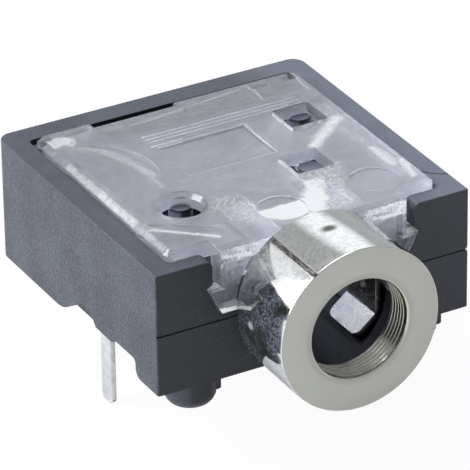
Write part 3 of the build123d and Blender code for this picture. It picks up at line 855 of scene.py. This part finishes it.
class SocketSettings(bpy.types.PropertyGroup):
    """Sizes and colours of the socket's finishes."""

    moulded_edge: bpy.props.FloatProperty(
        name="Moulded edge", description="Radius on the moulded edges, in millimetres",
        default=0.03, min=0.005, max=0.1,
    )
    stamped_edge: bpy.props.FloatProperty(
        name="Stamped edge", description="Radius on the strips' edges, in millimetres",
        default=0.02, min=0.005, max=0.05,
    )
    turned_edge: bpy.props.FloatProperty(
        name="Turned edge", description="Radius on the sleeve's edges, in millimetres",
        default=0.04, min=0.005, max=0.1,
    )
    sleeve_wall: bpy.props.FloatProperty(
        name="Sleeve wall", description="Thickness of the sleeve's barrel, in millimetres", default=0.4,
    )
    bore_r: bpy.props.FloatProperty(
        name="Bore radius", description="Radius of the plug hole in the sleeve, in millimetres", default=1.8,
    )
    bore_l: bpy.props.FloatProperty(
        name="Bore length", description="Thickness of the sleeve's front wall, in millimetres", default=1.1,
    )
    mouth: bpy.props.FloatProperty(
        name="Mouth edge", description="Rounding at the mouth of the bore, in millimetres", default=0.12,
    )
    ring_count: bpy.props.IntProperty(
        name="Rings", description="Number of fine rings that the tool left in the bore", default=5, min=1,
    )
    ring_pitch: bpy.props.FloatProperty(
        name="Ring pitch", description="Distance between the rings, in millimetres", default=0.17,
    )
    ring_start: bpy.props.FloatProperty(
        name="First ring", description="Depth of the first ring, in millimetres", default=0.25,
    )
    ring_ridge: bpy.props.FloatProperty(
        name="Ring height", description="How far the rings stand out of the bore, in millimetres",
        default=0.028,
    )
    # Where the painted dark reflection line lies round the barrel
    reflection_turn: bpy.props.FloatProperty(
        name="Draw line", description="Where the dark line lies round the barrel, from +X",
        default=math.radians(124.0), subtype="ANGLE",
    )
    film_share: bpy.props.FloatProperty(
        name="Film", description="Strength of the dull film on the barrel's left side",
        default=0.27, min=0.0, max=1.0, subtype="FACTOR",
    )
    sunk_y: bpy.props.FloatProperty(
        name="Sunk face", description="Depth of the apron's sunk face from the origin, in millimetres",
        default=3.38,
    )
    cover_low: bpy.props.FloatProperty(
        name="Plate underside", description="Height of the cover plate's lower face, in millimetres",
        default=2.02,
    )
    nose_end: bpy.props.FloatProperty(
        name="Nose end", description="Where the nose meets the front wall, in millimetres", default=3.0,
    )
    hole_at: bpy.props.FloatVectorProperty(
        name="Hole", description="Middle of the cover's round hole, in millimetres",
        size=2, default=(-3.15, 6.45),
    )
    rear_window: bpy.props.FloatVectorProperty(
        name="Rear window", description="Middle of the rear square window, in millimetres",
        size=2, default=(3.54, 10.14),
    )
    front_window: bpy.props.FloatVectorProperty(
        name="Front window", description="Middle of the front square window, in millimetres",
        size=2, default=(2.05, 7.08),
    )
    rib_bloom: bpy.props.FloatProperty(
        name="Rib bloom", description="Whiteness of the blasted ribs under the cover",
        default=0.25, min=0.0, max=1.0, subtype="FACTOR",
    )
    # The whiteness of the painted glare over the plug and beside it
    glare_whiteness: bpy.props.FloatProperty(
        name="Patch bloom", description="Whiteness of the thick places over the plug",
        default=0.88, min=0.0, max=1.0, subtype="FACTOR",
    )
    # The white of the bloom, which is also the white of the painted glare and highlights
    bloom_and_glare: bpy.props.StringProperty(
        name="Bloom", description="White bloom in the cover, as a hex colour", default="#fbf9f4",
    )
    clear_share: bpy.props.FloatProperty(
        name="Clearness", description="Share of light that the cover lets through",
        default=0.95, min=0.0, max=1.0, subtype="FACTOR",
    )
    pbt_dark: bpy.props.StringProperty(
        name="PBT, dark", description="Darker tone of the housing, as a hex colour", default="#303239",
    )
    pbt_light: bpy.props.StringProperty(
        name="PBT, light", description="Lighter tone of the housing, as a hex colour", default="#3b3e46",
    )
    # Dark tone of the pits, also used as painted shade on the housing's front and in the plug's way
    pbt_pits_and_painted_shade: bpy.props.StringProperty(
        name="PBT, front", description="Smoother front of the housing, as a hex colour", default="#090b10",
    )
    # Pale tone of the glass specks, also used as painted light on the right tops, the ledges and the box's
    # inside
    pbt_fleck_and_painted_light: bpy.props.StringProperty(
        name="PBT, fleck", description="Glass specks in the housing, as a hex colour", default="#8a8f9a",
    )
    clear_dark: bpy.props.StringProperty(
        name="Cover, dark", description="Darker tone of the cover, as a hex colour", default="#a8aab1",
    )
    clear_light: bpy.props.StringProperty(
        name="Cover, light", description="Lighter tone of the cover, as a hex colour", default="#c4c5cb",
    )
    # Painted shade at the rear, the left and the openings
    clear_shade: bpy.props.StringProperty(
        name="Cover, rear", description="Greyer tone at the rear, the left and the openings, as a hex colour",
        default="#75777f",
    )
    # Painted shade low in the apron's sunk face
    clear_sunk_shade: bpy.props.StringProperty(
        name="Cover, deep", description="Dark tone low in the apron's sunk face, as a hex colour",
        default="#5a5c5e",
    )
    nickel_light: bpy.props.StringProperty(
        name="Nickel, light", description="Clean nickel plating, as a hex colour", default="#d2d1cb",
    )
    nickel_dark: bpy.props.StringProperty(
        name="Nickel, dark", description="Dull nickel plating, as a hex colour", default="#bebdb7",
    )
    nickel_bore: bpy.props.StringProperty(
        name="Nickel, bore", description="Yellower plating inside the bore, as a hex colour",
        default="#bbb6a4",
    )
    nickel_face: bpy.props.StringProperty(
        name="Nickel, end face", description="Faced-off front end of the sleeve, as a hex colour",
        default="#acaba2",
    )
    # Colour of the stains, and of the painted dark reflection line along the barrel
    nickel_stain_and_reflection: bpy.props.StringProperty(
        name="Nickel, stain", description="Draw line and stains on the sleeve, as a hex colour",
        default="#24241f",
    )
    film: bpy.props.StringProperty(
        name="Film", description="Dull film on the sleeve, as a hex colour", default="#9ea4b4",
    )
    tarnish: bpy.props.StringProperty(
        name="Tarnish", description="Brown-grey tarnish on the tongue, as a hex colour", default="#5a574e",
    )
    silver_nose: bpy.props.StringProperty(
        name="Silver, tongue", description="Yellower plating on the tongue, as a hex colour",
        default="#dfdbcd",
    )
    silver_light: bpy.props.StringProperty(
        name="Silver, light", description="Clean silver plating, as a hex colour", default="#d3d2d0",
    )
    silver_dark: bpy.props.StringProperty(
        name="Silver, dark", description="Dull silver plating, as a hex colour", default="#c3c3c0",
    )


class StageSettings(bpy.types.PropertyGroup):
    """Sizes and levels of the stage."""

    floor_half: bpy.props.FloatProperty(
        name="Floor half width", description="Half the width of the floor", default=2.0, unit="LENGTH",
    )
    azimuth: bpy.props.FloatProperty(
        name="Azimuth", description="Camera's turn from straight in front, towards the left",
        default=math.radians(28.7047), subtype="ANGLE",
    )
    elevation: bpy.props.FloatProperty(
        name="Elevation", description="Camera's height over the horizon",
        default=math.radians(28.7537), subtype="ANGLE",
    )
    roll: bpy.props.FloatProperty(
        name="Roll", description="Camera's turn about its view",
        default=math.radians(-0.9038), subtype="ANGLE",
    )
    distance: bpy.props.FloatProperty(
        name="Distance", description="From the camera to what it looks at", default=0.16539, unit="LENGTH",
    )
    lens: bpy.props.FloatProperty(
        name="Lens", description="Focal length in millimetres on a 36 mm sensor", default=369.302,
    )


# Operators


class SOCKET_OT_housing(bpy.types.Operator):
    """Make the moulded housing with its softened edges"""

    bl_idname = "socket.housing"
    bl_label = "Housing"

    def execute(self, context):
        props = context.scene.socket
        pbt = moulded_pbt(props)
        piece = softened("moulded_housing", "housing", props.moulded_edge, MOULDED_SHARP_DEG, pbt)
        return {"FINISHED"}


class SOCKET_OT_cover(bpy.types.Operator):
    """Make the clear cover with its softened edges"""

    bl_idname = "socket.cover"
    bl_label = "Cover"

    def execute(self, context):
        props = context.scene.socket
        polycarbonate = clear_polycarbonate(props)
        piece = softened("clear_cover", "cover", props.moulded_edge, SHARP_DEG, polycarbonate)
        return {"FINISHED"}


class SOCKET_OT_sleeve(bpy.types.Operator):
    """Turn the sleeve, with rounded edges, and the fine rings that the tool left in its bore"""

    bl_idname = "socket.sleeve"
    bl_label = "Sleeve"

    def execute(self, context):
        props = context.scene.socket
        low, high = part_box("sleeve")
        outer, length = high[0] / MM, high[1] / MM
        inner, bore, wall = outer - props.sleeve_wall, props.bore_r, props.bore_l
        edge, mouth = props.turned_edge, props.mouth
        corners = (
            (outer, 0.0, edge), (outer, length, edge), (inner, length, edge), (inner, wall, edge),
            (bore, wall, edge), (bore, 0.0, mouth),
        )
        nickel = nickel_plate(props)
        piece = lathe("turned_sleeve", rounded_profile(corners), nickel)
        shade(piece.data)
        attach(piece, BODY)
        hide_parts("sleeve")

        rings = own_object("bore_rings", bpy.data.meshes.new("bore_rings"), nickel)
        values = {"Count": props.ring_count, "Pitch": props.ring_pitch * MM, "Start": props.ring_start * MM,
                  "Radius": bore * MM, "Ridge": props.ring_ridge * MM, "Finish": nickel}
        grow(rings, ring_rows(), values)
        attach(rings, BODY)
        return {"FINISHED"}


class SOCKET_OT_contacts(bpy.types.Operator):
    """Make the stamped contacts with their softened edges"""

    bl_idname = "socket.contacts"
    bl_label = "Contacts"

    def execute(self, context):
        props = context.scene.socket
        silver = silver_plate(props)
        for name in sorted(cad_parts):
            if name.endswith("contact"):
                piece = softened("plated_" + name, name, props.stamped_edge, SHARP_DEG, silver)
        return {"FINISHED"}


class SOCKET_OT_stage(bpy.types.Operator):
    """Make the floor, the pale surroundings, the lamps and the camera"""

    bl_idname = "socket.stage"
    bl_label = "Stage"

    def execute(self, context):
        props = context.scene.stage
        scene = context.scene
        scene.view_settings.view_transform = "Standard"
        pale_floor(props.floor_half)
        scene.world = pale_surroundings()
        soft_lamp("left_softbox", *LEFT_LAMP)
        soft_lamp("top_softbox", *TOP_LAMP)
        soft_lamp("front_fill", *FRONT_LAMP).visible_glossy = False
        scene.camera = photo_camera(props)
        return {"FINISHED"}


OPERATORS = (
    SOCKET_OT_housing,
    SOCKET_OT_cover,
    SOCKET_OT_sleeve,
    SOCKET_OT_contacts,
    SOCKET_OT_stage,
)


class SOCKET_PT_panel(bpy.types.Panel):
    """Lists the socket's pieces in the sidebar"""

    bl_idname = "SOCKET_PT_panel"
    bl_label = "Jack Socket"
    bl_space_type = "VIEW_3D"
    bl_region_type = "UI"
    bl_category = "Jack Socket"

    def draw(self, context):
        for operator in OPERATORS:
            self.layout.operator(operator.bl_idname)


CLASSES = (SocketSettings, StageSettings, *OPERATORS, SOCKET_PT_panel)


def register():
    """Add the classes and the two groups of settings."""
    for cls in CLASSES:
        bpy.utils.register_class(cls)
    bpy.types.Scene.socket = bpy.props.PointerProperty(type=SocketSettings)
    bpy.types.Scene.stage = bpy.props.PointerProperty(type=StageSettings)


def unregister():
    """Take the settings and the classes away again."""
    del bpy.types.Scene.stage
    del bpy.types.Scene.socket
    for cls in reversed(CLASSES):
        bpy.utils.unregister_class(cls)


def main():
    """Make every piece and the stage."""
    register()
    bpy.ops.socket.housing()
    bpy.ops.socket.cover()
    bpy.ops.socket.sleeve()
    bpy.ops.socket.contacts()
    bpy.ops.socket.stage()


if __name__ == "__main__":
    main()
